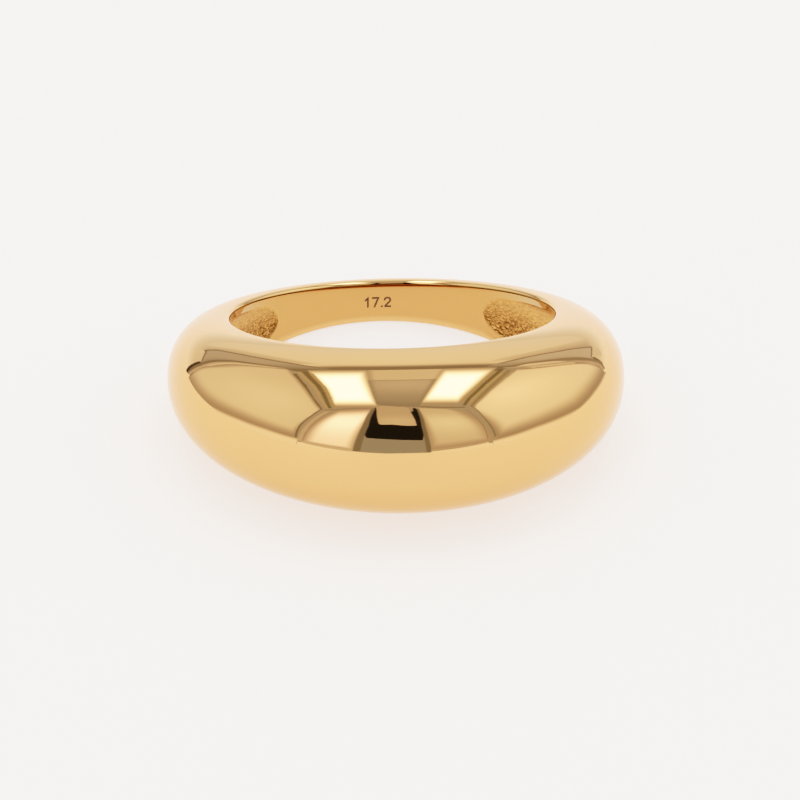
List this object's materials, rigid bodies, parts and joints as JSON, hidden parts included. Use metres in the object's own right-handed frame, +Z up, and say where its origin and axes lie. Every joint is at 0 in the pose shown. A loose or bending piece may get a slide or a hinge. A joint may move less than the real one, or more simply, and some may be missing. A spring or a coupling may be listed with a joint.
{
  "type": "dome ring",
  "caption": "Finger ring with a high polished dome that tapers to a narrow band, hollowed out under the dome.",
  "frame": {"origin": "middle of the ring's outline on the surface that it rests on", "axes": "+Z up, with the ring lying on its side as it rests by itself; -Y towards the middle of the dome, +Y towards the narrow back of the band; +X to the right seen from the dome"},
  "size_m": [0.0242, 0.0238, 0.0086],
  "materials": {
    "gold_steel": "polished"
  },
  "bodies": {
    "root": {"dome_ring": "gold_steel"}
  },
  "joints": []
}
